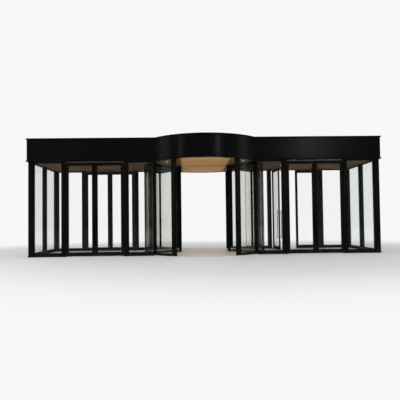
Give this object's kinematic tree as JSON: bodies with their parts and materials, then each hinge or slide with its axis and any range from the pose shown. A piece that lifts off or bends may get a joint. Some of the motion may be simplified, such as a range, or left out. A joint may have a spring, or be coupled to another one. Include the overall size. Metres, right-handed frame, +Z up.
{
  "type": "revolving door in a glazed entrance vestibule",
  "caption": "Wide revolving door with two wings and sliding centre leaves, its drum set in a glazed vestibule with swing doors beside it and a deep dark fascia above.",
  "frame": {"origin": "where the drum's axis meets the ground", "axes": "+Z up, -Y towards the street, +X to the right when seen from the street"},
  "size_m": [13.344, 5.004, 4.425],
  "materials": {
    "black": "satin black powder coat",
    "grey": "satin grey powder coat",
    "glass": "clear, flat",
    "curved_glass": "clear, curved, slightly grey",
    "ceiling": "matt cream paint",
    "floor": "honed light grey",
    "roof": "matt grey",
    "aluminium": "satin",
    "steel": "plain",
    "brush": "brush seal"
  },
  "bodies": {
    "frame": {"corner_posts": "black", "front_door_posts": "black", "rear_door_posts": "black", "side_posts": "black", "base_rails": "black", "head_rails": "black", "door_head_strips": "aluminium", "front_glazing": "glass", "rear_glazing": "glass", "side_glazing": "glass", "drum_opening_posts": "black", "drum_wall_posts": "black", "drum_base_rails": "black", "drum_glass_left": "curved_glass", "drum_glass_right": "curved_glass", "drum_head_ring": "black", "drum_floor": "floor", "vestibule_floors": "floor", "vestibule_ceilings": "ceiling", "roof_deck": "roof", "drive_unit": "steel", "front_fascia": "black", "rear_fascia": "black", "side_fascia": "black", "front_drum_fascia": "black", "rear_drum_fascia": "black", "pivot_blocks": "black"},
    "rotor": {"rotor_ceiling": "ceiling", "rotor_track": "black", "rotor_plinths": "grey", "rotor_canopies": "grey", "rotor_stiles": "black", "rotor_flat_glass": "glass", "rotor_curved_glass": "curved_glass", "rotor_seals": "brush"},
    "sliding_left": {"sliding_leaf_left": "black", "sliding_pane_left": "glass"},
    "sliding_right": {"sliding_leaf_right": "black", "sliding_pane_right": "glass"},
    "front_left_outer": {"front_left_outer_leaf": "black", "front_left_outer_pane": "glass"},
    "front_left_inner": {"front_left_inner_leaf": "black", "front_left_inner_pane": "glass"},
    "front_right_outer": {"front_right_outer_leaf": "black", "front_right_outer_pane": "glass"},
    "front_right_inner": {"front_right_inner_leaf": "black", "front_right_inner_pane": "glass"},
    "rear_left_outer": {"rear_left_outer_leaf": "black", "rear_left_outer_pane": "glass"},
    "rear_left_inner": {"rear_left_inner_leaf": "black", "rear_left_inner_pane": "glass"},
    "rear_right_outer": {"rear_right_outer_leaf": "black", "rear_right_outer_pane": "glass"},
    "rear_right_inner": {"rear_right_inner_leaf": "black", "rear_right_inner_pane": "glass"}
  },
  "joints": [
    {"name": "rotor_turn", "type": "hinge", "parent": "frame", "child": "rotor", "pos_m": [0, 0, 1.75], "axis": [0, 0, 1], "continuous": true},
    {"name": "sliding_left_travel", "type": "slide", "parent": "rotor", "child": "sliding_left", "axis": [0.9962, -0.0872, 0], "range_m": [0, 0.945]},
    {"name": "sliding_right_travel", "type": "slide", "parent": "rotor", "child": "sliding_right", "axis": [-0.9962, 0.0872, 0], "range_m": [0, 0.945]},
    {"name": "front_left_outer_swing", "type": "hinge", "parent": "frame", "child": "front_left_outer", "pos_m": [-5.207, -1.622, 1.75], "axis": [0, 0, -1], "range_deg": [0, 90]},
    {"name": "front_left_inner_swing", "type": "hinge", "parent": "frame", "child": "front_left_inner", "pos_m": [-3.063, -1.622, 1.75], "axis": [0, 0, 1], "range_deg": [0, 90]},
    {"name": "front_right_outer_swing", "type": "hinge", "parent": "frame", "child": "front_right_outer", "pos_m": [5.207, -1.622, 1.75], "axis": [0, 0, 1], "range_deg": [0, 90]},
    {"name": "front_right_inner_swing", "type": "hinge", "parent": "frame", "child": "front_right_inner", "pos_m": [3.063, -1.622, 1.75], "axis": [0, 0, -1], "range_deg": [0, 90]},
    {"name": "rear_left_outer_swing", "type": "hinge", "parent": "frame", "child": "rear_left_outer", "pos_m": [-5.207, 1.428, 1.75], "axis": [0, 0, -1], "range_deg": [0, 90]},
    {"name": "rear_left_inner_swing", "type": "hinge", "parent": "frame", "child": "rear_left_inner", "pos_m": [-3.063, 1.428, 1.75], "axis": [0, 0, 1], "range_deg": [0, 90]},
    {"name": "rear_right_outer_swing", "type": "hinge", "parent": "frame", "child": "rear_right_outer", "pos_m": [5.207, 1.428, 1.75], "axis": [0, 0, 1], "range_deg": [0, 90]},
    {"name": "rear_right_inner_swing", "type": "hinge", "parent": "frame", "child": "rear_right_inner", "pos_m": [3.063, 1.428, 1.75], "axis": [0, 0, -1], "range_deg": [-86, 4]}
  ],
  "couplings": [
    {"joint": "sliding_right_travel", "follows": "sliding_left_travel", "ratio": 1}
  ]
}
